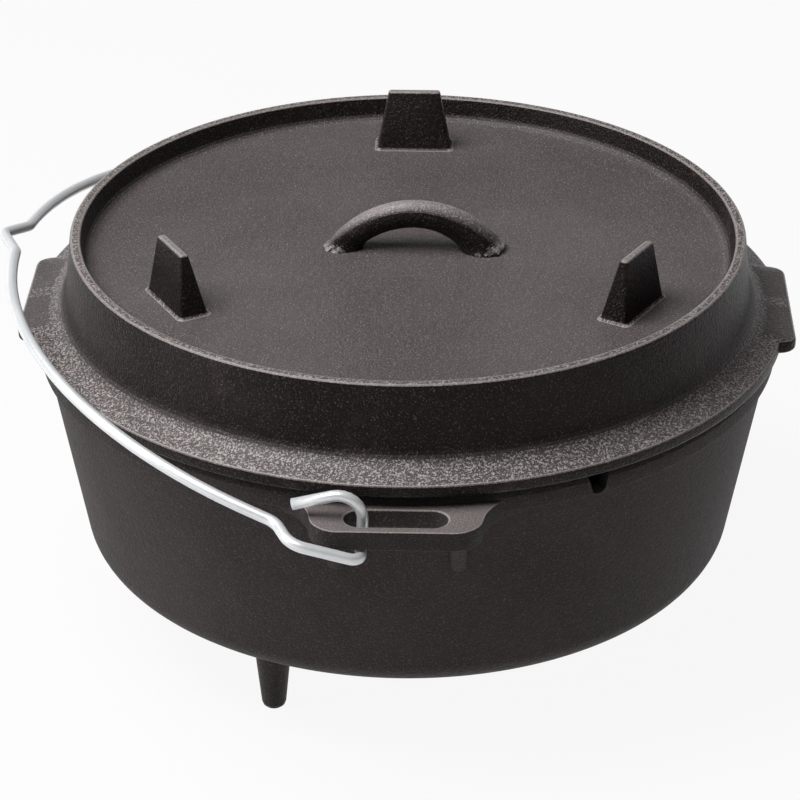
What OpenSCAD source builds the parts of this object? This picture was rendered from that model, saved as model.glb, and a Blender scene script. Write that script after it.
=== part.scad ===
// Camp dutch oven: a cast pot on three feet, a cast lid that carries coals, and a wire bail.
// Millimetres, +Z up. The origin is on the pot's axis, at the height of the foot tips.
// The ears lie on the Y axis and the lid's grip tabs on the X axis.

/* [Pot] */
// Outside diameter of the pot at its rim
pot_rim_d = 308; // [270:1:360]
// Outside diameter where the wall and the floor would meet in a sharp corner
pot_floor_d = 272; // [230:1:300]
// Height from the underside of the floor to the rim
pot_h = 100; // [70:1:160]
// Thickness of the pot's wall
pot_wall = 4.5; // [4:0.5:8]
// Thickness of the pot's floor
pot_floor = 5; // [4:0.5:9]
// Outside rounding between the wall and the floor
pot_corner_r = 14; // [8:1:20]
// Height of the thicker band round the rim
band_h = 4; // [2:0.5:8]
// How far the band stands out from the wall
band_out = 0.8; // [0.4:0.1:2]

/* [Feet] */
// Height of the feet below the pot's floor
foot_h = 35; // [20:1:60]
// Distance of the feet inwards from the sharp corner of the floor
foot_inset = 26; // [22:1:50]
// Diameter of a foot where it leaves the floor
foot_root_d = 16.5; // [12:0.5:24]
// Diameter of a foot at its tip
foot_tip_d = 9.5; // [7:0.5:12]
// Rounding round the tip
foot_tip_r = 3; // [0.5:0.5:3]
// Bearing of the first foot, counted from +X
foot_turn = 1.5; // [-10:0.5:10]

/* [Thermometer notch] */
// Width of the notch at the rim
notch_w = 10; // [6:0.5:16]
// Depth of the notch below the rim
notch_depth = 7; // [5:0.5:12]
// Diameter of the round bottom of the notch
notch_tip_d = 5; // [4:0.5:6]
// Bearing of the notch, counted from +X
notch_turn = 300; // [285:1:330]

/* [Ears] */
// Distance from the rim's outside to the ear's outer edge
ear_reach = 19.5; // [18:0.5:28]
// Width of the ear at its outer edge
ear_w = 62; // [58:1:80]
// Width of the ear at its neck, next to the rim
ear_neck_w = 71; // [66:1:90]
// Rounding of the ear's outer corners
ear_corner_r = 11; // [4:1:13]
// Hollow rounding between the ear's neck and the rim
ear_flare_r = 10; // [4:1:14]
// Thickness of the ear
ear_t = 8; // [6:0.5:14]
// Distance of the ear's top below the rim
ear_drop = 5; // [3:0.5:12]
// Rounding along the ear's outer edge
ear_edge_r = 2; // [0.5:0.5:2.5]
// Length of the slot
slot_l = 39; // [38:1:46]
// Width of the slot
slot_w = 12; // [10:0.5:13]
// Width of the bar outside the slot
slot_bar = 4.2; // [3:0.2:6]
// Distance between the two ribs under an ear
rib_pitch = 44; // [34:1:50]
// Thickness of a rib
rib_t = 7; // [4:0.5:10]
// Height of a rib below the ear
rib_h = 20; // [10:1:30]
// Depth of a rib under the ear, from the wall outwards
rib_reach = 7; // [4:0.5:8]

/* [Lid] */
// How far the flange stands out over the pot's rim
flange_over = 3; // [1:0.5:8]
// Thickness of the flange
flange_t = 5; // [4:0.5:8]
// Width of the flange outside the lid's wall
flange_w = 15.5; // [12:0.5:19]
// Rounding between the flange and the wall
flange_fillet_r = 6; // [2:0.5:9]
// Height of the coal rim above the flange
lid_h = 34; // [26:1:50]
// How far the wall leans inwards from the flange to the coal rim
lid_draft = 2; // [0.5:0.5:5]
// Thickness of the lid's wall
lid_wall = 4.5; // [4:0.5:7]
// Thickness of the lid's floor
lid_floor = 5; // [4.5:0.5:8]
// Width of the coal rim's top
coal_rim_w = 4.3; // [3.5:0.1:6]
// Depth of the coal recess
recess_depth = 10; // [6:0.5:14]
// Rounding at the foot of the recess wall
recess_fillet_r = 5; // [2:0.5:6]
// Height of the ring under the flange that centres the lid
lip_h = 4; // [2:0.5:8]
// Width of that ring
lip_w = 5.5; // [4:0.5:6]
// Clearance between that ring and the pot's wall
lip_gap = 2; // [1:0.25:3]
// How far a grip tab stands out beyond the flange
tab_reach = 3; // [2:0.5:10]
// Length of a grip tab
tab_l = 64; // [50:1:90]
// Rounding of a grip tab's corners
tab_corner_r = 14; // [6:1:16]

/* [Lid legs] */
// Height of the legs above the recess floor
leg_h = 25.5; // [18:0.5:40]
// Distance from the coal rim to the outer face of a leg
leg_inset = 28.5; // [18:0.5:50]
// Width of a leg at its foot
leg_w = 32; // [24:1:44]
// Width of a leg at its top
leg_top_w = 22.5; // [16:0.5:24]
// Thickness of a leg at its foot
leg_t = 12; // [8:0.5:16]
// Thickness of a leg at its top
leg_top_t = 3.5; // [3:0.5:6]
// Hollow rounding round the foot of a leg
leg_fillet_r = 2; // [1:0.5:5]

/* [Lid handle] */
// Diameter of the handle's bar
handle_bar_d = 11.5; // [10:0.5:16]
// Distance between the handle's feet, centre to centre
handle_span = 57; // [44:1:70]
// Height of the bar's centre above the recess floor
handle_rise = 15.5; // [13:0.5:26]
// How far the handle's middle stands off the lid's axis, towards +X
handle_off = 2.5; // [-5:0.5:5]

/* [Bail] */
// Diameter of the wire
wire_d = 4.5; // [3.5:0.1:5]
// Angle of the folded bail above the horizontal
bail_rest = 15; // [12:0.5:24]
// Clearance between the folded bow and the middle of the grip tab, seen from above
bow_gap = 1.6; // [1.6:0.1:6]
// Bearing of the bow's ends, counted from the middle of the bow
bow_turn = 70; // [66:1:72]
// Height of the kink that centres a hook
kink_h = 8; // [5:0.5:14]
// Width of the kink at its foot
kink_w = 26; // [20:1:36]
// Distance of the kink from the middle of the bow
kink_off = 14; // [0:1:20]
// Place of the eye along the slot, from the slot's middle
eye_x = -13; // [-15:0.5:-12]
// Clearance between the eye and the underside of the ear
eye_gap = 0.75; // [0.5:0.25:4]
// Clearance between the arm and the ear's outer edge
arm_gap = 0.8; // [0.8:0.1:4]
// Length of the arm from the eye to its inward bend
arm_l = 27; // [25:0.5:30]
// Height of the hook's wire above the ear
hook_rise = 10; // [5:0.5:12]
// Reach of the hook back over the ear
hook_l = 22; // [16:0.5:23]
// How far the hook's tip drops below its top
hook_drop = 5.5; // [2:0.5:6]
// How far the hook's tip leans towards the pot
hook_lean = 2; // [0:0.5:2.5]

/* [Hidden] */
$fn = 128;

iron = "#3a3633";
zinc = "#c9cfd2";

// Levels
floor_z = foot_h;
rim_z = floor_z + pot_h;
ear_top_z = rim_z - ear_drop;
ear_low_z = ear_top_z - ear_t;
flange_z = rim_z + flange_t;
coal_rim_z = flange_z + lid_h;
recess_z = coal_rim_z - recess_depth;

// Radii
rim_r = pot_rim_d / 2;
floor_r = pot_floor_d / 2;
wall_top_r = rim_r - band_out;
rim_in_r = rim_r - pot_wall;
wall_slope = (wall_top_r - floor_r) / pot_h;
in_floor_r = floor_r - pot_wall + wall_slope * pot_floor;
flange_r = rim_r + flange_over;
lid_base_r = flange_r - flange_w;
lid_top_r = lid_base_r - lid_draft;
tab_r = flange_r + tab_reach;
lip_r = rim_in_r - lip_gap;

// Depth by which one cast form runs into the next
root = 2;
// Small rounding of cast edges
edge_r = 1.2;
// Rounding along the flange's upper edge
flange_edge_r = 0.65 * flange_t;
feet = [foot_turn, foot_turn + 120, foot_turn + 240];
lid_legs = [90, 210, 330];

function unit(v) = v / norm(v);

// Half of the angle between the two sides that meet at corner b
function half_angle(a, b, c) = acos(unit(a - b) * unit(c - b)) / 2;

// Distance from corner b to the points where a round of radius r touches its sides
function setback(a, b, c, r) = r / tan(half_angle(a, b, c));

// Centre of that round
function round_centre(a, b, c, r) =
    b + unit(unit(a - b) + unit(c - b)) * r / sin(half_angle(a, b, c));

function turned(v, angle) = [v.x * cos(angle) - v.y * sin(angle), v.x * sin(angle) + v.y * cos(angle)];

// Length of the straight pieces that a drawn round is made of, and the fewest and most of them
round_piece = 1.5;
round_pieces = [3, 12];

// Points of the round of radius r at corner b of an outline, from the side of a to the side of c
function round_points(a, b, c, r) =
    r == 0 ? [b] :
    let (
        centre = round_centre(a, b, c, r),
        first = b + unit(a - b) * setback(a, b, c, r) - centre,
        turn = 180 - 2 * half_angle(a, b, c),
        pieces = max(round_pieces[0], min(round_pieces[1], ceil(r * turn * PI / 180 / round_piece))),
        side = sign(cross(b - a, c - b)))
    [for (i = [0 : pieces]) centre + turned(first, side * turn * i / pieces)];

// An outline with a radius for each corner
function rounded(points, radii) =
    let (n = len(points))
    [for (i = [0 : n - 1])
        each round_points(points[(i + n - 1) % n], points[i], points[(i + 1) % n], radii[i])];

// Pot
module pot_shell() {
    band_z = rim_z - band_h;
    band_root_r = floor_r + wall_slope * (pot_h - band_h - band_out);
    rotate_extrude() polygon(rounded(
        [[0, floor_z], [floor_r, floor_z], [band_root_r, band_z - band_out], [rim_r, band_z],
         [rim_r, rim_z], [rim_in_r, rim_z], [in_floor_r, floor_z + pot_floor], [0, floor_z + pot_floor]],
        [0, pot_corner_r, 0, 0, edge_r, edge_r, pot_corner_r - pot_wall / 2, 0]));
}

module foot() {
    rotate_extrude() polygon(rounded(
        [[0, 0], [foot_tip_d / 2, 0], [foot_root_d / 2, foot_h + root], [0, foot_h + root]],
        [0, foot_tip_r, 0, 0]));
}

module notch() {
    above = 1;
    tip_r = notch_tip_d / 2;
    corner_r = 0.9 * tip_r;
    translate([0, 0, rim_z]) rotate([90, 0, 90]) linear_extrude(rim_r + band_h) polygon(rounded(
        [[-tip_r, -notch_depth], [tip_r, -notch_depth], [notch_w / 2, above], [-notch_w / 2, above]],
        [corner_r, corner_r, 0, 0]));
}

// Ear on the -Y side
ear_y = rim_r + ear_reach;
slot_y = ear_y - slot_bar - slot_w / 2;

module slot_outline() {
    for (x = [-1, 1]) translate([x * (slot_l - slot_w) / 2, 0]) circle(d = slot_w);
    square([slot_l - slot_w, slot_w], center = true);
}

// Point of the rim's outside at a distance x from the middle of the ear
function on_rim(x) = [x, -sqrt(rim_r * rim_r - x * x)];

module ear_outline() {
    front = ear_w / 2;
    neck = ear_neck_w / 2;
    end = neck + 2 * ear_flare_r;
    difference() {
        polygon(rounded(
            [[-front, -ear_y], [front, -ear_y], on_rim(neck), on_rim(end), on_rim(-end), on_rim(-neck)],
            [ear_corner_r, ear_corner_r, ear_flare_r, 0, 0, ear_flare_r]));
        translate([0, -slot_y]) slot_outline();
    }
}

module ear() {
    intersection() {
        translate([0, 0, ear_low_z]) linear_extrude(ear_t) ear_outline();
        rotate([90, 0, 90]) translate([0, 0, -rim_r]) linear_extrude(pot_rim_d) polygon(rounded(
            [[-ear_y, ear_low_z], [0, ear_low_z], [0, ear_top_z], [-ear_y, ear_top_z]],
            [ear_edge_r, 0, 0, ear_edge_r]));
    }
    for (x = [-1, 1]) translate([x * rib_pitch / 2, 0, 0]) rib();
}

// Rib between the ear's underside and the wall, with a round nose
module rib() {
    wall_y = rim_r - root;
    nose_y = wall_y + rib_reach;
    foot_y = wall_y - rib_h / 2;
    nose_r = rib_t / 2;
    intersection() {
        translate([-nose_r, 0, 0]) rotate([90, 0, 90]) linear_extrude(rib_t) polygon(
            [[-nose_y, ear_low_z + root], [-nose_y, ear_low_z],
             [-foot_y, ear_low_z - rib_h], [-foot_y, ear_low_z + root]]);
        linear_extrude(rim_z) {
            translate([0, nose_r - nose_y]) circle(nose_r);
            translate([-nose_r, nose_r - nose_y]) square([rib_t, rim_r]);
        }
    }
}

// Everything inside the pot's inner wall
module pot_inside() {
    rotate_extrude() polygon(
        [[0, floor_z + pot_floor], [in_floor_r, floor_z + pot_floor], [rim_in_r, rim_z], [0, rim_z]]);
}

module pot() color(iron) difference() {
    union() {
        pot_shell();
        for (turn = feet) rotate(turn) translate([floor_r - foot_inset, 0, 0]) foot();
        difference() {
            for (turn = [0, 180]) rotate(turn) ear();
            pot_inside();
        }
    }
    rotate(notch_turn) notch();
}

// Lid
module lid_shell() {
    under_z = recess_z - lid_floor;
    cavity_low_r = lid_base_r - lid_wall;
    cavity_top_r = lid_top_r - lid_wall;
    recess_top_r = lid_top_r - coal_rim_w;
    rotate_extrude() polygon(rounded(
        [[0, under_z], [cavity_top_r, under_z], [cavity_low_r, rim_z],
         [lip_r - lip_w, rim_z], [lip_r - lip_w, rim_z - lip_h], [lip_r, rim_z - lip_h], [lip_r, rim_z],
         [flange_r, rim_z], [flange_r, flange_z], [lid_base_r, flange_z],
         [lid_top_r, coal_rim_z], [recess_top_r, coal_rim_z],
         [recess_top_r - lid_draft, recess_z], [0, recess_z]],
        [0, recess_fillet_r, 0, 0, edge_r, edge_r, 0, edge_r, flange_edge_r, flange_fillet_r,
         edge_r, edge_r, recess_fillet_r, 0]));
}

module grip_tabs() {
    half = tab_l / 2;
    for (turn = [0, 180]) rotate(turn) translate([0, 0, rim_z]) linear_extrude(flange_t) polygon(rounded(
        [[lid_base_r, -half], [tab_r, -half], [tab_r, half], [lid_base_r, half]],
        [0, tab_corner_r, tab_corner_r, 0]));
}

// Outline of a leg seen along the floor: its foot from left to right, its top, and hollow rounds at the foot
function leg_outline(left, right, top_left, top_right) =
    let (r = leg_fillet_r, top_r = edge_r / 2)
    rounded(
        [[left - r, -root], [right + r, -root], [right + r, 0], [right, 0],
         [top_right, leg_h], [top_left, leg_h], [left, 0], [left - r, 0]],
        [0, 0, 0, r, top_r, top_r, r, 0]);

// Leg at the +X side of the lid's middle: thin and narrow at its top
module lid_leg() {
    outer_x = lid_top_r - leg_inset;
    outer_top_x = outer_x - (leg_t - leg_top_t) / 3;
    intersection() {
        translate([0, leg_w, 0]) rotate([90, 0, 0]) linear_extrude(2 * leg_w)
            polygon(leg_outline(outer_x - leg_t, outer_x, outer_top_x - leg_top_t, outer_top_x));
        rotate([90, 0, 90]) linear_extrude(lid_top_r)
            polygon(leg_outline(-leg_w / 2, leg_w / 2, -leg_top_w / 2, leg_top_w / 2));
    }
}

// Arch of round bar over the lid's middle, its feet sunk into the floor
module lid_handle() {
    half = handle_span / 2;
    arch_r = (half * half + handle_rise * handle_rise) / (2 * handle_rise);
    start = asin((arch_r - handle_rise - root) / arch_r);
    translate([handle_off, 0, handle_rise - arch_r]) rotate([90, 0, 0]) rotate(start)
        rotate_extrude(angle = 180 - 2 * start) translate([arch_r, 0]) circle(d = handle_bar_d, $fn = 48);
}

module lid() color(iron) {
    lid_shell();
    grip_tabs();
    translate([0, 0, recess_z]) {
        for (turn = lid_legs) rotate(turn) lid_leg();
        lid_handle();
    }
}

// Bail: it turns about the wire that passes under the bar of each ear
wire_r = wire_d / 2;
hinge_z = ear_low_z - eye_gap - wire_r;
arm_y = ear_y + arm_gap + wire_r;
bow_r = (tab_r + bow_gap + wire_r) / cos(bail_rest);
eye_r = wire_d;
kink_r = wire_d;

// Point of the folded bail's plane: u along the arm from the hinge, y along the hinge
function arm_point(u, y) = [eye_x - u * cos(bail_rest), y, hinge_z + u * sin(bail_rest)];

// Point at a bearing and distance from the bow's centre, which lies over the pot's axis
bow_u = eye_x / cos(bail_rest);
function bow_point(bearing, r) = arm_point(bow_u + r * cos(bearing), r * sin(bearing));

// Corner between the tangents of the bow at two bearings
function bow_corner(from, to) = bow_point((from + to) / 2, bow_r / cos((from - to) / 2));

// Half of the bail, from the hook's tip to the foot of the kink: side is -1 or 1, kink_y the kink's foot.
// The bow runs out straight for a few degrees towards the ear and towards the kink.
run_out = 4;
run_in = 1.5;
function half_bail(side, kink_y) =
    let (kink_bearing = asin(kink_y / bow_r))
    [[eye_x - hook_l, side * (slot_y - hook_lean), ear_top_z + hook_rise - hook_drop],
     [eye_x + wire_r / 2, side * slot_y, ear_top_z + hook_rise + wire_r],
     [eye_x, side * slot_y, hinge_z],
     [eye_x, side * arm_y, hinge_z],
     arm_point(arm_l, side * arm_y),
     bow_point(side * (bow_turn + run_out), bow_r / cos(run_out)),
     bow_corner(side * bow_turn, kink_bearing + side * run_in),
     bow_point(kink_bearing, bow_r / cos(run_in))];

half_radii = [0, 2 * wire_d, eye_r, eye_r, 2 * wire_d, 2 * wire_d, bow_r, kink_r];

function reversed(list) = [for (i = [len(list) - 1 : -1 : 0]) list[i]];

bail_points = concat(
    half_bail(-1, kink_off - kink_w / 2),
    [bow_point(asin(kink_off / bow_r), bow_r + kink_h)],
    reversed(half_bail(1, kink_off + kink_w / 2)));
bail_radii = concat(half_radii, [wire_d], reversed(half_radii));

// Places its children at a point, with +X and +Z along the given directions
module place(at, x, z) {
    y = cross(z, x);
    multmatrix([[x.x, y.x, z.x, at.x], [x.y, y.y, z.y, at.y], [x.z, y.z, z.z, at.z]]) children();
}

// Round wire along points, bent at each inner point with that point's radius.
// The straight runs are a hair thinner than the bends and end inside them.
run_lap = 0.3;
run_step = 0.03;
module bent_wire(points, radii) {
    last = len(points) - 1;
    cuts = [for (i = [0 : last])
        i == 0 || i == last ? 0 : setback(points[i - 1], points[i], points[i + 1], radii[i]) - run_lap];
    for (i = [0 : last - 1]) {
        along = unit(points[i + 1] - points[i]);
        across = unit(cross(along, abs(along.z) < 0.9 ? [0, 0, 1] : [1, 0, 0]));
        length = norm(points[i + 1] - points[i]) - cuts[i] - cuts[i + 1];
        place(points[i] + along * cuts[i], across, along) cylinder(h = length, r = wire_r - run_step, $fn = 32);
    }
    for (i = [1 : last - 1]) {
        a = points[i - 1];
        b = points[i];
        c = points[i + 1];
        centre = round_centre(a, b, c, radii[i]);
        outward = unit(b + unit(a - b) * setback(a, b, c, radii[i]) - centre);
        place(centre, outward, unit(cross(b - a, c - b)))
            rotate_extrude(angle = 180 - 2 * half_angle(a, b, c))
                translate([radii[i], 0]) circle(d = wire_d, $fn = 32);
    }
}

module bail() color(zinc) bent_wire(bail_points, bail_radii);

pot();
lid();
bail();
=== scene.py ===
import math

import bmesh
import bpy
from mathutils import Matrix, Vector, noise


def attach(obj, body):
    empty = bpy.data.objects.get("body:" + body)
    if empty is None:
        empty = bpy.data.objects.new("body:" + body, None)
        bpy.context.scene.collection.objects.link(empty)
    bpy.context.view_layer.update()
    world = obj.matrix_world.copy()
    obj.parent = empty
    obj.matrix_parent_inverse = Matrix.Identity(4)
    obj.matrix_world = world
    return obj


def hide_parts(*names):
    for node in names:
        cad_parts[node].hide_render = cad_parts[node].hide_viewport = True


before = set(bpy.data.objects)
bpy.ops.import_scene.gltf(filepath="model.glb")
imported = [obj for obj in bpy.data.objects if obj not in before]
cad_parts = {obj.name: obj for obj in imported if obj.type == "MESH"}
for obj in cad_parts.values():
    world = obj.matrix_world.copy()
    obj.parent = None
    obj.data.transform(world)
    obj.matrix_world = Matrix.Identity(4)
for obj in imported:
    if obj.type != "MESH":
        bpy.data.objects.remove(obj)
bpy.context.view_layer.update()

# The pot's shell: grey iron poured into sand, a round wall that widens upwards from a flat floor,
# with a slightly thicker band round the rim and a slope at its top. Nothing is machined.
# Its sizes, and those of the other pieces, are in millimetres.
pot_floor_r = 136
pot_rim_r = 154
pot_floor_z = 35
pot_rim_z = 135
pot_wall = 4.5
pot_floor = 5
pot_corner_r = 14
pot_steps = 320
cast_edge_r = 1.2
band_h = 10
band_out = 0.8
band_edge_r = 0.5
rim_slope_h = 4
rim_slope_w = 2.2
rim_slope_low_r = 1
rim_slope_top_r = 0.8
wall_slope = (pot_rim_r - band_out - pot_floor_r) / (pot_rim_z - pot_floor_z)
arc_step = 1.6
weld = 1e-3


def outline(corners):
    """A flat face in the XZ plane through corners of x, z and rounding radius, in millimetres."""
    bm = bmesh.new()
    verts = [bm.verts.new((x, 0, z)) for x, z, _ in corners]
    bm.faces.new(verts)
    for vert, (_, _, radius) in zip(verts, corners):
        if not radius:
            continue
        before, after = (edge.other_vert(vert).co - vert.co for edge in vert.link_edges)
        opening = before.angle(after)
        bmesh.ops.bevel(
            bm, geom=[vert], affect="VERTICES", offset_type="OFFSET", offset=radius / math.tan(opening / 2),
            segments=max(3, math.ceil(radius * (math.pi - opening) / arc_step)), profile=0.5, material=-1)
    return bm


def turned(bm, steps):
    """Spins an outline into a closed solid about the Z axis."""
    on_axis = [e for e in bm.edges if all(abs(v.co.x) < weld for v in e.verts)]
    bmesh.ops.delete(bm, geom=bm.faces[:], context="FACES_ONLY")
    bmesh.ops.delete(bm, geom=on_axis, context="EDGES")
    bmesh.ops.spin(
        bm, geom=bm.verts[:] + bm.edges[:], cent=(0, 0, 0), axis=(0, 0, 1), angle=math.tau, steps=steps,
        use_merge=True)
    bmesh.ops.remove_doubles(bm, verts=bm.verts, dist=weld)
    bmesh.ops.recalc_face_normals(bm, faces=bm.faces)
    return bm


pot_in_floor_r = pot_floor_r - pot_wall + wall_slope * pot_floor
pot_shell = turned(outline([
    (0, pot_floor_z, 0),
    (pot_floor_r, pot_floor_z, pot_corner_r),
    (pot_rim_r - band_out - wall_slope * band_h, pot_rim_z - band_h - band_out, 0),
    (pot_rim_r, pot_rim_z - band_h, band_edge_r),
    (pot_rim_r, pot_rim_z - rim_slope_h, rim_slope_low_r),
    (pot_rim_r - rim_slope_w, pot_rim_z, rim_slope_top_r),
    (pot_rim_r - pot_wall, pot_rim_z, cast_edge_r),
    (pot_in_floor_r, pot_floor_z + pot_floor, pot_corner_r - pot_wall / 2),
    (0, pot_floor_z + pot_floor, 0)]), pot_steps)

# The three feet: tapered round studs with soft tips, cast in one with the pot's floor,
# which they meet in a hollow round.
foot_bearings = [1.5, 121.5, 241.5]
foot_ring_r = 110
foot_tip_r = 4.75
foot_tip_round = 3
foot_root_r = 8.25
foot_fillet_r = 4
foot_sink = 2
foot_steps = 48
cast_step = 0.06


def around(bm, bearings):
    """Turns a solid to the first bearing about the Z axis, in degrees, and copies it to the others."""
    first = bm.verts[:] + bm.edges[:] + bm.faces[:]
    for bearing in bearings[1:]:
        copy = bmesh.ops.duplicate(bm, geom=first)["geom"]
        verts = [v for v in copy if isinstance(v, bmesh.types.BMVert)]
        bmesh.ops.rotate(
            bm, verts=verts, cent=(0, 0, 0), matrix=Matrix.Rotation(math.radians(bearing), 3, "Z"))
    verts = [v for v in first if isinstance(v, bmesh.types.BMVert)]
    bmesh.ops.rotate(
        bm, verts=verts, cent=(0, 0, 0), matrix=Matrix.Rotation(math.radians(bearings[0]), 3, "Z"))
    return bm


pot_feet = turned(outline([
    (0, 0, 0),
    (foot_tip_r, 0, foot_tip_round),
    (foot_root_r, pot_floor_z - cast_step, foot_fillet_r),
    (foot_root_r + foot_fillet_r, pot_floor_z - cast_step, 0),
    (foot_root_r + foot_fillet_r, pot_floor_z + foot_sink, 0),
    (0, pot_floor_z + foot_sink, 0)]), foot_steps)
bmesh.ops.translate(pot_feet, verts=pot_feet.verts, vec=(foot_ring_r, 0, 0))
around(pot_feet, foot_bearings)

# The two ears: flat lugs cast on opposite sides just under the rim, each with a long slot for the bail
# and two short ribs below. Their necks run out into the wall in wide hollow curves.
ear_y = 173.5
ear_half_w = 31
ear_neck = 35.5
ear_flare_r = 22
ear_flare_run = 20
ear_corner_r = 11
ear_edge_r = 1.8
ear_low_z = 122
ear_top_z = 130
ear_root_r = 149.6
ear_root_halves = 5
flare_tip = 1
ear_sides = [0, 180]
slot_half_l = 19.5
slot_half_w = 6
slot_y = 163.3
slot_edge_r = 1.1
rib_x = 23.5
rib_half_t = 3.5
rib_h = 25
rib_sink = 2
rib_nose_y = 159
rib_nose_r = 3
rib_nose_run = 12.5
rib_back_y = 147.5
rib_back_run = 5


def slab(corners, low, high):
    """A level plate between two heights from corners of x, y and rounding radius."""
    bm = outline(corners)
    bmesh.ops.rotate(bm, verts=bm.verts, cent=(0, 0, 0), matrix=Matrix.Rotation(math.radians(-90), 3, "X"))
    bmesh.ops.translate(bm, verts=bm.verts, vec=(0, 0, low))
    top = bmesh.ops.extrude_face_region(bm, geom=bm.faces[:])["geom"]
    bmesh.ops.translate(
        bm, verts=[v for v in top if isinstance(v, bmesh.types.BMVert)], vec=(0, 0, high - low))
    bmesh.ops.recalc_face_normals(bm, faces=bm.faces)
    return bm


def soften(bm, edges, radius, segments=3):
    """Rounds edges the way a sand mould leaves them."""
    bmesh.ops.bevel(
        bm, geom=edges, affect="EDGES", offset_type="OFFSET", offset=radius, segments=segments, profile=0.5,
        material=-1, clamp_overlap=True)


def level_edges(bm):
    """The edges round the upper and lower face of a plate."""
    return [e for e in bm.edges if abs(e.verts[0].co.z - e.verts[1].co.z) < weld and len(e.link_faces) == 2]


def merged(*solids):
    """Several solids in one mesh, the first one's."""
    for solid in solids[1:]:
        spare = bpy.data.meshes.new("spare")
        solid.to_mesh(spare)
        solid.free()
        solids[0].from_mesh(spare)
        bpy.data.meshes.remove(spare)
    return solids[0]


flare_x = ear_neck + ear_flare_run
flare_y = math.sqrt((ear_root_r + flare_tip) ** 2 - flare_x ** 2)
neck_y = math.sqrt(pot_rim_r ** 2 - ear_neck ** 2)
root_bearing = math.asin(flare_x / ear_root_r)
root_corners = [root_bearing * (1 - i / ear_root_halves) for i in range(2 * ear_root_halves + 1)]
ear = slab(
    [(-ear_half_w, -ear_y, ear_corner_r), (ear_half_w, -ear_y, ear_corner_r),
     (ear_neck, -neck_y, ear_flare_r), (flare_x, -flare_y, 0)]
    + [(ear_root_r * math.sin(a), -ear_root_r * math.cos(a), 0) for a in root_corners]
    + [(-flare_x, -flare_y, 0), (-ear_neck, -neck_y, ear_flare_r)],
    ear_low_z, ear_top_z)
free_y = -flare_y - flare_tip / 2
soften(ear, [e for e in level_edges(ear) if max(v.co.y for v in e.verts) < free_y], ear_edge_r)
rib = slab(
    [(-rib_half_t, -rib_nose_y, rib_nose_r), (rib_half_t, -rib_nose_y, rib_nose_r),
     (rib_half_t, -rib_back_y, 0), (-rib_half_t, -rib_back_y, 0)],
    ear_low_z - rib_h, ear_low_z + rib_sink)
for vert in rib.verts:
    if vert.co.z < ear_low_z:
        on_back = abs(vert.co.y + rib_back_y) < weld
        vert.co.y += rib_back_run if on_back else rib_nose_run
bmesh.ops.translate(rib, verts=rib.verts, vec=(rib_x, 0, 0))
other_rib = rib.copy()
bmesh.ops.translate(other_rib, verts=other_rib.verts, vec=(-2 * rib_x, 0, 0))
around(ear, ear_sides)
pot_ribs = around(merged(rib, other_rib), ear_sides)

slot_past = 3
slot_lift = 0.03
slot_steps = 5
slot_end_flat = 0.01
slot_end_r = slot_half_w - slot_end_flat
end_x = slot_half_l - slot_half_w
slots = slab(
    [(x * slot_half_l, y * slot_half_w, slot_end_r) for x, y in [(-1, -1), (1, -1), (1, 1), (-1, 1)]],
    ear_low_z - slot_past, ear_top_z + slot_past)
for i in range(slot_steps + 1):
    height = ear_top_z + slot_lift - slot_edge_r * (1 - math.sin(i / slot_steps * math.pi / 2))
    for level in (height, ear_low_z + ear_top_z - height):
        bmesh.ops.bisect_plane(
            slots, geom=slots.verts[:] + slots.edges[:] + slots.faces[:],
            plane_co=(0, 0, level), plane_no=(0, 0, 1))
for vert in slots.verts:
    depth = max(vert.co.z - ear_top_z, ear_low_z - vert.co.z) - slot_lift + slot_edge_r
    if depth > 0:
        widen = slot_edge_r - math.sqrt(max(slot_edge_r ** 2 - depth ** 2, 0))
        middle = Vector((min(max(vert.co.x, -end_x), end_x), 0))
        vert.co.xy = middle + (vert.co.xy - middle).normalized() * (slot_half_w + widen)
bmesh.ops.translate(slots, verts=slots.verts, vec=(0, -slot_y, 0))
around(slots, ear_sides)

# The notch in the rim: a small funnel-shaped opening in the iron for a thermometer's stem,
# left by the pattern when the pot is cast.
notch_bearing = 300
notch_half_w = 5
notch_flare = 0.7
notch_tip_r = 2.5
notch_tip_round = 2.2
notch_depth = 10
notch_above = 2
notch_inset = 20
notch_l = 30
notch = outline([
    (-notch_tip_r, -notch_depth, notch_tip_round), (notch_tip_r, -notch_depth, notch_tip_round),
    (notch_half_w + notch_flare, notch_above, 0), (-notch_half_w - notch_flare, notch_above, 0)])
far_face = bmesh.ops.extrude_face_region(notch, geom=notch.faces[:])["geom"]
bmesh.ops.translate(
    notch, verts=[v for v in far_face if isinstance(v, bmesh.types.BMVert)], vec=(0, notch_l, 0))
bmesh.ops.recalc_face_normals(notch, faces=notch.faces)
bmesh.ops.rotate(notch, verts=notch.verts, cent=(0, 0, 0), matrix=Matrix.Rotation(math.radians(-90), 3, "Z"))
bmesh.ops.translate(notch, verts=notch.verts, vec=(pot_rim_r - notch_inset, 0, pot_rim_z))
around(notch, [notch_bearing])

# The pot as it leaves the foundry: shell, feet, ribs and ears are one piece of sand-cast iron, baked in oil.
# The oil dries brown-black with bare grey grains; level faces get painted top light, edges painted glints and
# some real wear.
metre = 0.001


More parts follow.
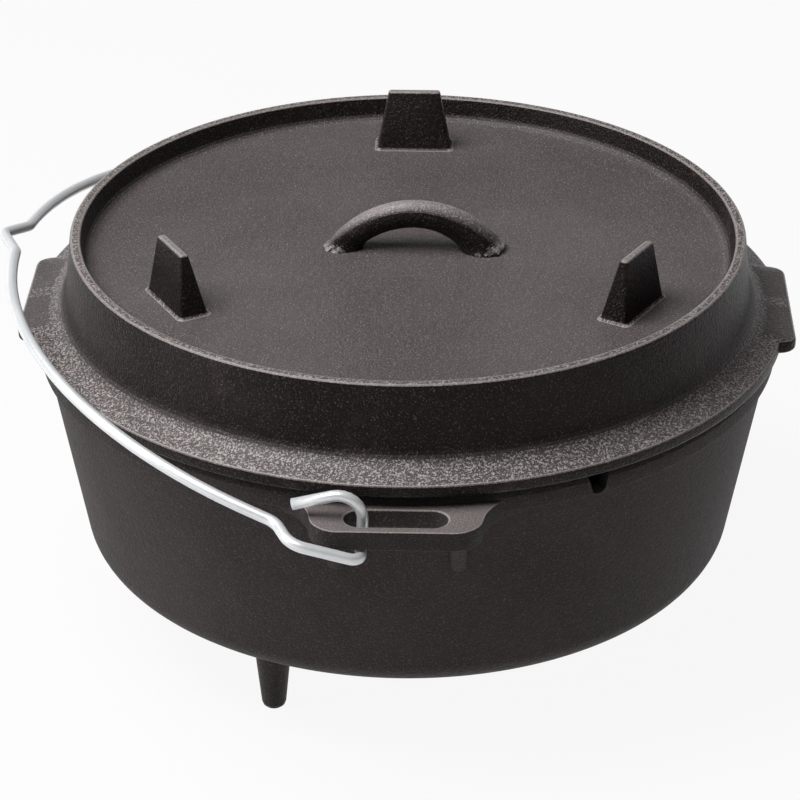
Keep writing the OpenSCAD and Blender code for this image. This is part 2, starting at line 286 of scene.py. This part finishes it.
class Shade:
    """A shader socket that takes part in sums, and makes the other nodes of its material."""

    def __init__(self, tree, socket=None):
        self.tree = tree
        self.socket = socket

    def make(self, kind, settings=None, output=0, **inputs):
        """A new node's output, from its settings and its inputs by name, or by number as in0."""
        node = self.tree.nodes.new("ShaderNode" + kind)
        for name, value in (settings or {}).items():
            setattr(node, name, value)
        for name, value in inputs.items():
            label = name.replace("_", " ")
            socket = node.inputs[int(label[2:])] if label.startswith("in") else node.inputs[label]
            if isinstance(value, Shade):
                self.tree.links.new(value.socket, socket)
            else:
                socket.default_value = value
        return Shade(self.tree, node.outputs[output])

    def math(self, operation, first, second):
        """A Math node on two values."""
        return self.make("Math", {"operation": operation}, in0=first, in1=second)

    def __add__(self, other):
        return self.math("ADD", self, other)

    def __radd__(self, other):
        return self.math("ADD", other, self)

    def __sub__(self, other):
        return self.math("SUBTRACT", self, other)

    def __rsub__(self, other):
        return self.math("SUBTRACT", other, self)

    def __mul__(self, other):
        return self.math("MULTIPLY", self, other)

    def __rmul__(self, other):
        return self.math("MULTIPLY", other, self)

    def between(self, low, high):
        """0 where this is at most low, 1 where it is at least high, with a soft step."""
        return self.make(
            "MapRange", {"interpolation_type": "SMOOTHSTEP"}, Value=self, From_Min=low, From_Max=high)

    def tint(self, under, over):
        """A colour that goes from under to over as this goes from 0 to 1."""
        return self.make(
            "Mix", {"data_type": "RGBA", "clamp_factor": True}, output=2, in0=self, in6=under, in7=over)


def new_finish(name):
    """An empty material: its node maker and the socket that takes the finished surface."""
    material = bpy.data.materials.new(name)
    material.use_nodes = True
    material.node_tree.nodes.clear()
    output = material.node_tree.nodes.new("ShaderNodeOutputMaterial")
    return material, Shade(material.node_tree), output.inputs["Surface"]


def seasoned_iron(name, dark, brown, worn, grain_and_glint, rough_mean):
    """Sand-cast iron under baked-on oil: grainy, with painted top light on level faces and painted glints,
    partly rubbed wear, on edges.
    """
    material, shade, surface = new_finish(name)
    where = shade.make("TexCoord", output="Object")
    patches = shade.make("TexNoise", Vector=where, Scale=16, Detail=5, Roughness=0.6)
    rust = shade.make("TexNoise", Vector=where, Scale=43, Detail=4, Roughness=0.65, Distortion=0.6)
    sand = shade.make("TexNoise", Vector=where, Scale=420, Detail=2, Roughness=0.6)
    grain = shade.make("TexNoise", Vector=where, Scale=950, Detail=1, Roughness=0.6)
    specks = shade.make("TexNoise", Vector=where, Scale=1700, Detail=1, Roughness=0.6)
    glint_grains = 0.5 * grain + 0.5 * specks
    edge = shade.make("Attribute", {"attribute_name": "worn_edge"}, output="Fac")
    level = shade.make("Attribute", {"attribute_name": "level_face"}, output="Fac")
    colour = patches.between(0.35, 0.7).tint(dark, brown)
    rusty = (0.060, 0.040, 0.035, 1)
    colour = (rust.between(0.56, 0.74) * 0.5).tint(colour, rusty)
    # Level faces turn greyer and lighter: painted top light, standing in for light that falls from above.
    colour = (level * (0.75 + 0.6 * (patches - 0.5))).tint(colour, worn)
    # Pale grains: real bare iron everywhere, with extra painted highlight on level faces.
    colour = (specks.between(0.58, 0.72) * (0.14 + 0.43 * level)).tint(colour, grain_and_glint)
    # Upturned edges and outward slopes get lighter brown and pale flakes: painted glints, partly real rubbed
    # wear.
    glint_edges = edge.between(0, 0.4) * level
    rubbed_and_lit = edge.between(0.45, 0.9) * level
    colour = (glint_edges * 0.3).tint(colour, brown)
    colour = (rubbed_and_lit * 0.45).tint(colour, grain_and_glint)
    colour = (glint_edges * glint_grains.between(0.49, 0.6) * (0.8 - 0.4 * rubbed_and_lit)).tint(colour, grain_and_glint)
    rough = rough_mean + 0.2 * (sand - 0.5) + 0.1 * (patches - 0.5) - 0.1 * edge
    height = 0.4 * sand + 0.6 * grain
    bump = shade.make("Bump", Strength=1.0, Distance=0.0008, Height=height)
    skin = shade.make(
        "BsdfPrincipled", Base_Color=colour, Roughness=rough, Specular_IOR_Level=0.14,
        Specular_Tint=(1, 0.84, 0.84, 1), Coat_Weight=level * (0.55 + 0.45 * edge), Coat_Roughness=0.5,
        Normal=bump)
    material.node_tree.links.new(skin.socket, surface)
    return material


def casting(name, solids, cuts, finish, body, node, shaded_above):
    """Fuses solids into one closed casting, takes the cuts out of it and hands it to the frame, in metres."""
    sharp_angle = math.radians(38)
    helpers = []
    for bm in [*solids, *cuts]:
        mesh = bpy.data.meshes.new(name)
        bm.to_mesh(mesh)
        bm.free()
        helper = bpy.data.objects.new(name + "_helper", mesh)
        bpy.context.scene.collection.objects.link(helper)
        helpers.append(helper)
    base = helpers[0]
    for other in helpers[1:]:
        step = base.modifiers.new("fuse", "BOOLEAN")
        step.object = other
        step.operation = "DIFFERENCE" if helpers.index(other) >= len(solids) else "UNION"
        step.solver = "EXACT"
    mesh = bpy.data.meshes.new_from_object(base.evaluated_get(bpy.context.evaluated_depsgraph_get()))
    for helper in helpers:
        spare = helper.data
        bpy.data.objects.remove(helper)
        bpy.data.meshes.remove(spare)
    bm = bmesh.new()
    bm.from_mesh(mesh)
    bmesh.ops.remove_doubles(bm, verts=bm.verts, dist=2 * weld)
    bmesh.ops.dissolve_degenerate(bm, edges=bm.edges, dist=weld)
    mark_wear_and_glints(bm, shaded_above)
    bmesh.ops.scale(bm, verts=bm.verts, vec=(metre, metre, metre))
    for face in bm.faces:
        face.smooth = True
    bm.to_mesh(mesh)
    bm.free()
    mesh.set_sharp_from_angle(angle=sharp_angle)
    mesh.name = name
    mesh.materials.clear()
    mesh.materials.append(finish)
    piece = bpy.data.objects.new(name, mesh)
    bpy.context.scene.collection.objects.link(piece)
    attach(piece, body)
    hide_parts(node)


def mark_wear_and_glints(bm, shaded_above):
    """Writes how sharply each small face is rounded outwards, and how level it lies, for the finish to read.

    Above the given height nothing is written, so no painted glint or top light falls there and the iron stays
    dark: painted shade, as where the lid's flange shades the pot's rim.
    """
    edge_layer = bm.loops.layers.float.new("worn_edge")
    level_layer = bm.loops.layers.float.new("level_face")
    bm.normal_update()
    sharp_curve = 0.22
    narrow = 2.5
    thin = 0.3
    slope_glint = 0.4
    slope_least, slope_most = 0.015, 0.35
    level_gain = 2.2
    for face in bm.faces:
        if face.calc_center_median().z > shaded_above:
            continue
        wear_and_glint = 0
        for edge in face.edges:
            width = face.calc_area() / max(edge.calc_length(), weld)
            if width < narrow and len(edge.link_faces) == 2:
                wear_and_glint = max(wear_and_glint, edge.calc_face_angle_signed(0) / max(width, thin) / sharp_curve)
        leans_out = face.normal.xy.dot(face.calc_center_median().xy) > 0
        # Faces that slope gently outwards are marked too, so the finish paints pale glints on them: painted
        # highlight.
        if leans_out and slope_least < 1 - face.normal.z < slope_most:
            wear_and_glint = max(wear_and_glint, slope_glint)
        for loop in face.loops:
            loop[edge_layer] = min(wear_and_glint, 1)
            loop[level_layer] = min(max(face.normal.z * level_gain - 1, 0), 1)


# Pale iron for real bare grains and for painted glints.
pale_grain_and_glint = (0.56, 0.505, 0.485, 1)
pot_iron = seasoned_iron(
    "pot_iron", dark=(0.034, 0.0285, 0.029, 1), brown=(0.052, 0.043, 0.043, 1),
    worn=(0.225, 0.196, 0.192, 1), grain_and_glint=pale_grain_and_glint, rough_mean=0.6)
casting(
    "pot_casting", [pot_shell, pot_feet, pot_ribs, ear], [slots, notch], pot_iron, "pot", "pot",
    # The rim above the ears gets no painted light: painted shade under the lid's flange.
    shaded_above=ear_top_z + 1)

# The lid's shell: the same iron, a flat floor inside a raised coal rim, a wide flange that sits on the pot,
# and a low ring below that keeps it centred. Two grip tabs grow out of the flange.
lid_flange_r = 157
lid_flange_t = 5
flange_edge_r = 1.2
flange_rise = 3.6
flange_root_out = 1.6
lid_base_r = 141.5
lid_top_r = 139.5
lid_wall = 4.5
lid_floor = 5
coal_rim_z = 174
coal_rim_w = 4.3
recess_z = 164
recess_draft = 2
recess_fillet_r = 5
flange_fillet_r = 10
lip_r = 147.5
lip_w = 5.5
lip_h = 4
tab_r = 160
tab_half_l = 35
tab_corner_r = 6
tab_half_turn = math.radians(15)
lid_steps = 720
flange_z = pot_rim_z + lid_flange_t
under_z = recess_z - lid_floor
recess_r = lid_top_r - coal_rim_w
lid_shell = turned(outline([
    (0, under_z, 0),
    (lid_top_r - lid_wall, under_z, recess_fillet_r),
    (lid_base_r - lid_wall, pot_rim_z, 0),
    (lip_r - lip_w, pot_rim_z, 0),
    (lip_r - lip_w, pot_rim_z - lip_h, cast_edge_r),
    (lip_r, pot_rim_z - lip_h, cast_edge_r),
    (lip_r, pot_rim_z, 0),
    (lid_flange_r, pot_rim_z, cast_edge_r),
    (lid_flange_r, flange_z, flange_edge_r),
    (lid_base_r + flange_root_out, flange_z + flange_rise, flange_fillet_r),
    (lid_top_r, coal_rim_z, cast_edge_r),
    (recess_r, coal_rim_z, cast_edge_r),
    (recess_r - recess_draft, recess_z, recess_fillet_r),
    (0, recess_z, 0)]), lid_steps)


def tab_reach(bearing):
    """How far the outline of a grip tab stands out at a bearing from its middle."""
    corner_x, corner_y = tab_r - tab_corner_r, tab_half_l - tab_corner_r
    straight = tab_r / math.cos(bearing)
    if straight * math.sin(bearing) <= corner_y:
        return straight
    along = corner_x * math.cos(bearing) + corner_y * math.sin(bearing)
    off = corner_x * math.sin(bearing) - corner_y * math.cos(bearing)
    return along + math.sqrt(max(tab_corner_r ** 2 - off ** 2, 0))


flange_root_r = 150
flange_lip_r = lid_flange_r - flange_edge_r
flange_low_z = pot_rim_z - 0.01
for vert in lid_shell.verts:
    radius = vert.co.xy.length
    if radius < flange_root_r or vert.co.z < flange_low_z:
        continue
    bearing = math.asin(min(abs(vert.co.y) / radius, 1))
    if bearing > tab_half_turn:
        continue
    grow = max(tab_reach(bearing) - lid_flange_r, 0)
    share = min(max((radius - flange_root_r) / (flange_lip_r - flange_root_r), 0), 1)
    vert.co.xy *= (radius + grow * share) / radius

# The three lid legs: cast lugs on the lid's floor on which the upturned lid stands as a griddle.
# They taper to a narrow top and meet the floor in a hollow round.
leg_bearings = [90, 210, 330]
leg_outer_x = 111
leg_t = 12
leg_top_t = 3.5
leg_top_x = 106.42
leg_half_w = 16
leg_top_half_w = 11.25
leg_top_z = 189.5
leg_fillet_r = 2
leg_edge_r = 1.1
leg_edge_steps = 4
leg_corner_r = 2 * leg_edge_r


def hollow_foot(bm, faces, radius, corner_r, steps=5, sink=1):
    """Runs the lowest faces of a solid out into a hollow round and sinks them into what carries it."""
    ring = [v.co for f in faces for v in f.verts]
    low = Vector((min(c.x for c in ring), min(c.y for c in ring))) + Vector((corner_r, corner_r))
    high = Vector((max(c.x for c in ring), max(c.y for c in ring))) - Vector((corner_r, corner_r))
    shift = drop = 0
    for i in range(1, steps + 2):
        turn = min(i / steps, 1) * math.pi / 2
        spread = radius * (1 - math.cos(turn)) - shift
        fall = radius * math.sin(turn) - drop if i <= steps else sink
        shift, drop = shift + spread, drop + fall
        grown = bmesh.ops.extrude_face_region(bm, geom=faces)["geom"]
        bmesh.ops.delete(bm, geom=faces, context="FACES")
        faces = [g for g in grown if isinstance(g, bmesh.types.BMFace)]
        for vert in {v for f in faces for v in f.verts}:
            core = Vector((min(max(vert.co.x, low.x), high.x), min(max(vert.co.y, low.y), high.y)))
            vert.co.xy += (vert.co.xy - core).normalized() * spread
            vert.co.z -= fall


lid_legs = bmesh.new()
bmesh.ops.create_cube(lid_legs, size=2)
leg_foot_z = recess_z + cast_step + leg_fillet_r
rise = (leg_foot_z - recess_z) / (leg_top_z - recess_z)
for vert in lid_legs.verts:
    x_side, y_side, upper = vert.co.x, vert.co.y, vert.co.z > 0
    share = 1 if upper else rise
    middle_x = leg_outer_x - leg_t / 2
    vert.co.x = middle_x + (leg_top_x - middle_x) * share + x_side * (leg_t + (leg_top_t - leg_t) * share) / 2
    vert.co.y = y_side * (leg_half_w + (leg_top_half_w - leg_half_w) * share)
    vert.co.z = leg_top_z if upper else leg_foot_z
free_edges = [e for e in lid_legs.edges if max(v.co.z for v in e.verts) > leg_foot_z + weld]
soften(lid_legs, free_edges, leg_edge_r, leg_edge_steps)
leg_soles = [f for f in lid_legs.faces if f.normal.z < -0.9]
hollow_foot(lid_legs, leg_soles, leg_fillet_r, leg_corner_r)
bmesh.ops.recalc_face_normals(lid_legs, faces=lid_legs.faces)
around(lid_legs, leg_bearings)

# The lid's handle: an arched round bar over the middle, cast in one with the floor,
# with a little ragged iron left round its feet where sand broke away.
handle_half_span = 28.5
handle_rise = 15.5
handle_bar_r = 5.75
handle_off = 2.5
handle_sink = 2
handle_round_steps = 48
handle_arch_steps = 72
handle_arch_r = (handle_half_span ** 2 + handle_rise ** 2) / (2 * handle_rise)
handle_start = math.asin((handle_arch_r - handle_rise - handle_sink) / handle_arch_r)
handle_centre = Vector((handle_off, 0, recess_z + handle_rise - handle_arch_r))
lid_handle = bmesh.new()
bmesh.ops.create_circle(
    lid_handle, cap_ends=True, segments=handle_round_steps, radius=handle_bar_r,
    matrix=Matrix.Translation(handle_centre + Vector((handle_arch_r, 0, 0))))
bmesh.ops.rotate(
    lid_handle, verts=lid_handle.verts, cent=handle_centre, matrix=Matrix.Rotation(-handle_start, 3, "Y"))
first_end = lid_handle.faces[:]
bmesh.ops.spin(
    lid_handle, geom=first_end, cent=handle_centre, axis=(0, -1, 0), angle=math.pi - 2 * handle_start,
    steps=handle_arch_steps)
bmesh.ops.recalc_face_normals(lid_handle, faces=lid_handle.faces)
flash_h = 3.5
flash_out = 1.6
flash_ragged = 1.3
lump_scale = 0.55
crumb_scale = 1.4
crumb_share = 0.6
right_swell = 0.3
left_taper = 0.12
left_lean = 2
for vert in lid_handle.verts:
    offset = vert.co - handle_centre
    arm = Vector((offset.x, 0, offset.z)).normalized() * handle_arch_r
    away = offset - arm
    side = offset.x / handle_half_span
    swell = right_swell * side ** 2 if side > 0 else -left_taper * side ** 2
    low = max(1 - max(vert.co.z - recess_z, 0) / flash_h, 0)
    ragged = noise.noise(vert.co * lump_scale) + crumb_share * noise.noise(vert.co * crumb_scale)
    vert.co += away * swell + away.normalized() * low ** 2 * (flash_out + flash_ragged * ragged)
    vert.co.x -= left_lean * min(side, 0) ** 2

# The lid as it leaves the foundry: shell, legs and handle are one piece of the same iron,
# with darker base tones than the pot, painted shade for walls facing away from the light, and a little
# glossier.
lid_iron = seasoned_iron(
    "lid_iron", dark=(0.008, 0.0062, 0.0058, 1), brown=(0.018, 0.0142, 0.0135, 1),
    worn=(0.135, 0.116, 0.115, 1), grain_and_glint=pale_grain_and_glint, rough_mean=0.4)
casting(
    "lid_casting", [lid_shell, lid_legs, lid_handle], [], lid_iron, "lid", "lid",
    shaded_above=leg_top_z)

# The bail: one length of round zinc-coated steel wire, bent cold. It passes up through the slot of each ear,
# hooks back over it, and bows round the pot with a small kink where a lifting hook sits.
wire_r = 2.25
bail_rest = math.radians(15)
hinge = Vector((-13, 0, 119))
arm_y = 176.55
arm_l = 27
hook_top_z = 140
hook_l = 26
hook_drop = 5.5
hook_lean = 2
tab_gap = 1.6
bow_r = (tab_r + tab_gap + wire_r) / math.cos(bail_rest)
bow_turn = 70
run_out = 4
run_in = 1.5
kink_off = 14
kink_half_w = 13
kink_h = 8
tight_bend = 2 * wire_r
easy_bend = 4 * wire_r
bend_step = 4
least_bend_steps = 8
wire_round = 6


def arm_point(u, y):
    """A point of the folded bail's plane, u along the arm from the hinge."""
    return Vector((hinge.x - u * math.cos(bail_rest), y, hinge.z + u * math.sin(bail_rest)))


def bow_point(bearing, radius):
    """A point at a bearing, in degrees, from the middle of the bow."""
    turn = math.radians(bearing)
    return arm_point(hinge.x / math.cos(bail_rest) + radius * math.cos(turn), radius * math.sin(turn))


def half_bail(side, kink_y):
    """Corners and bend radii of one half of the wire, from the hook's tip to the foot of the kink."""
    kink_bearing = math.degrees(math.asin(kink_y / bow_r))
    last = kink_bearing + side * run_in
    half_turn = math.radians((side * bow_turn - last) / 2)
    return [
        (Vector((hinge.x - hook_l, side * (slot_y - hook_lean), hook_top_z - hook_drop)), 0),
        (Vector((hinge.x + wire_r / 2, side * slot_y, hook_top_z + wire_r)), easy_bend),
        (Vector((hinge.x, side * slot_y, hinge.z)), tight_bend),
        (Vector((hinge.x, side * arm_y, hinge.z)), tight_bend),
        (arm_point(arm_l, side * arm_y), easy_bend),
        (bow_point(side * (bow_turn + run_out), bow_r / math.cos(math.radians(run_out))), easy_bend),
        (bow_point((side * bow_turn + last) / 2, bow_r / math.cos(half_turn)), bow_r),
        (bow_point(kink_bearing, bow_r / math.cos(math.radians(run_in))), tight_bend)]


kink_top = bow_point(math.degrees(math.asin(kink_off / bow_r)), bow_r + kink_h)
bends = half_bail(-1, kink_off - kink_half_w) + [(kink_top, tight_bend)]
bends += reversed(half_bail(1, kink_off + kink_half_w))
centreline = []
for i, (corner, radius) in enumerate(bends):
    if not radius:
        centreline.append(corner)
        continue
    before, after = bends[i - 1][0] - corner, bends[i + 1][0] - corner
    opening = before.angle(after)
    centre = corner + (before.normalized() + after.normalized()).normalized() * radius / math.sin(opening / 2)
    start = corner + before.normalized() * radius / math.tan(opening / 2) - centre
    axis = (-before).cross(after)
    steps = max(least_bend_steps, math.ceil(radius * (math.pi - opening) / bend_step))
    for k in range(steps + 1):
        centreline.append(centre + Matrix.Rotation((math.pi - opening) * k / steps, 3, axis) @ start)

wire_curve = bpy.data.curves.new("bail_line", "CURVE")
wire_curve.dimensions = "3D"
wire_curve.bevel_depth = wire_r * metre
wire_curve.bevel_resolution = wire_round
wire_curve.use_fill_caps = True
line = wire_curve.splines.new("POLY")
line.points.add(len(centreline) - 1)
for point, place in zip(line.points, centreline):
    point.co = (*(place * metre), 1)
wire_line = bpy.data.objects.new("bail_line", wire_curve)
bail_mesh = bpy.data.meshes.new_from_object(wire_line)
bpy.data.objects.remove(wire_line)
bpy.data.curves.remove(wire_curve)
bm = bmesh.new()
bm.from_mesh(bail_mesh)
bmesh.ops.remove_doubles(bm, verts=bm.verts, dist=weld * metre)
bmesh.ops.recalc_face_normals(bm, faces=bm.faces)
for face in bm.faces:
    face.smooth = len(face.verts) == 4
bm.to_mesh(bail_mesh)
bm.free()

zinc_wire, shade, surface = new_finish("zinc_wire")
where = shade.make("TexCoord", output="Object")
bloom = shade.make("TexNoise", Vector=where, Scale=55, Detail=4, Roughness=0.6)
streaks = shade.make("TexNoise", Vector=where, Scale=900, Detail=3, Roughness=0.6)
colour = bloom.between(0.3, 0.7).tint((0.85, 0.875, 0.90, 1), (0.95, 0.96, 0.97, 1))
colour = (streaks.between(0.58, 0.75) * 0.35).tint(colour, (0.55, 0.58, 0.62, 1))
rough = 0.34 + 0.2 * (streaks - 0.5) + 0.12 * (bloom - 0.5)
bump = shade.make("Bump", Strength=0.18, Distance=0.0002, Height=streaks)
skin = shade.make("BsdfPrincipled", Base_Color=colour, Roughness=rough, Metallic=0.35, Normal=bump)
zinc_wire.node_tree.links.new(skin.socket, surface)
bail_mesh.materials.clear()
bail_mesh.materials.append(zinc_wire)
bail_wire = bpy.data.objects.new("bail_wire", bail_mesh)
bpy.context.scene.collection.objects.link(bail_wire)
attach(bail_wire, "bail")
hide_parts("bail")

# The studio, in metres: a plain white floor that keeps the shadow and turns up at its far edge, a dim room,
# one wide soft lamp overhead and a weaker one from the left, seen by a long lens from above.
floor_r = 15
floor_edge_h = 2.8
floor_steps = 64
paper_glow = 0.92
floor_bm = bmesh.new()
bmesh.ops.create_circle(floor_bm, cap_ends=True, radius=floor_r, segments=floor_steps)
far_edge = bmesh.ops.extrude_edge_only(floor_bm, edges=floor_bm.edges[:])["geom"]
bmesh.ops.translate(
    floor_bm, verts=[v for v in far_edge if isinstance(v, bmesh.types.BMVert)], vec=(0, 0, floor_edge_h))
floor_mesh = bpy.data.meshes.new("floor")
floor_bm.to_mesh(floor_mesh)
floor_bm.free()
floor = bpy.data.objects.new("floor", floor_mesh)
bpy.context.scene.collection.objects.link(floor)
paper, shade, surface = new_finish("paper")
camera_ray, glossy_ray, through_ray = [
    shade.make("LightPath", output=name)
    for name in ("Is Camera Ray", "Is Glossy Ray", "Is Transmission Ray")]
direct = shade.math("MINIMUM", camera_ray + glossy_ray + through_ray, 1.0)
matte = shade.make("BsdfDiffuse", Color=(0.75, 0.75, 0.75, 1))
glow = shade.make("Emission", Color=(1, 1, 1, 1), Strength=1.0)
seen = shade.make("MixShader", in0=direct * paper_glow, in1=matte, in2=glow)
paper.node_tree.links.new(seen.socket, surface)
floor_mesh.materials.append(paper)

room = bpy.data.worlds.new("room")
bpy.context.scene.world = room
room.use_nodes = True
room.node_tree.nodes.clear()
room_end = room.node_tree.nodes.new("ShaderNodeOutputWorld")
shade = Shade(room.node_tree)
plain = shade.make("Background", Color=(1, 1, 1, 1), Strength=0.07)
room.node_tree.links.new(plain.socket, room_end.inputs["Surface"])


def soft_lamp(name, place, size, power):
    """A square soft box that faces the middle of the object."""
    light = bpy.data.lights.new(name, "AREA")
    light.shape = "SQUARE"
    light.size = size
    light.energy = power
    lamp = bpy.data.objects.new(name, light)
    lamp.location = place
    middle = Vector((0, 0, 0.1))
    lamp.rotation_euler = (middle - Vector(place)).to_track_quat("-Z", "Y").to_euler()
    bpy.context.scene.collection.objects.link(lamp)


soft_lamp("overhead_lamp", place=(-0.6, -0.2, 1.3), size=1.0, power=20)
soft_lamp("side_lamp", place=(-1.5, -0.5, 0.7), size=0.8, power=4.2)

lens_px = 3114
image_px = 800
sensor_mm = 36
camera = bpy.data.cameras.new("camera")
camera.sensor_width = sensor_mm
camera.lens = sensor_mm * lens_px / image_px
camera.clip_end = 50
camera_place = Vector((0.0309, -1.1668, 0.7274))
camera_aim = Vector((-0.0257, 0.8778, -0.4782))
eye = bpy.data.objects.new("camera", camera)
eye.location = camera_place
eye.rotation_euler = camera_aim.to_track_quat("-Z", "Y").to_euler()
bpy.context.scene.collection.objects.link(eye)
bpy.context.scene.camera = eye
bpy.context.scene.view_settings.view_transform = "Standard"
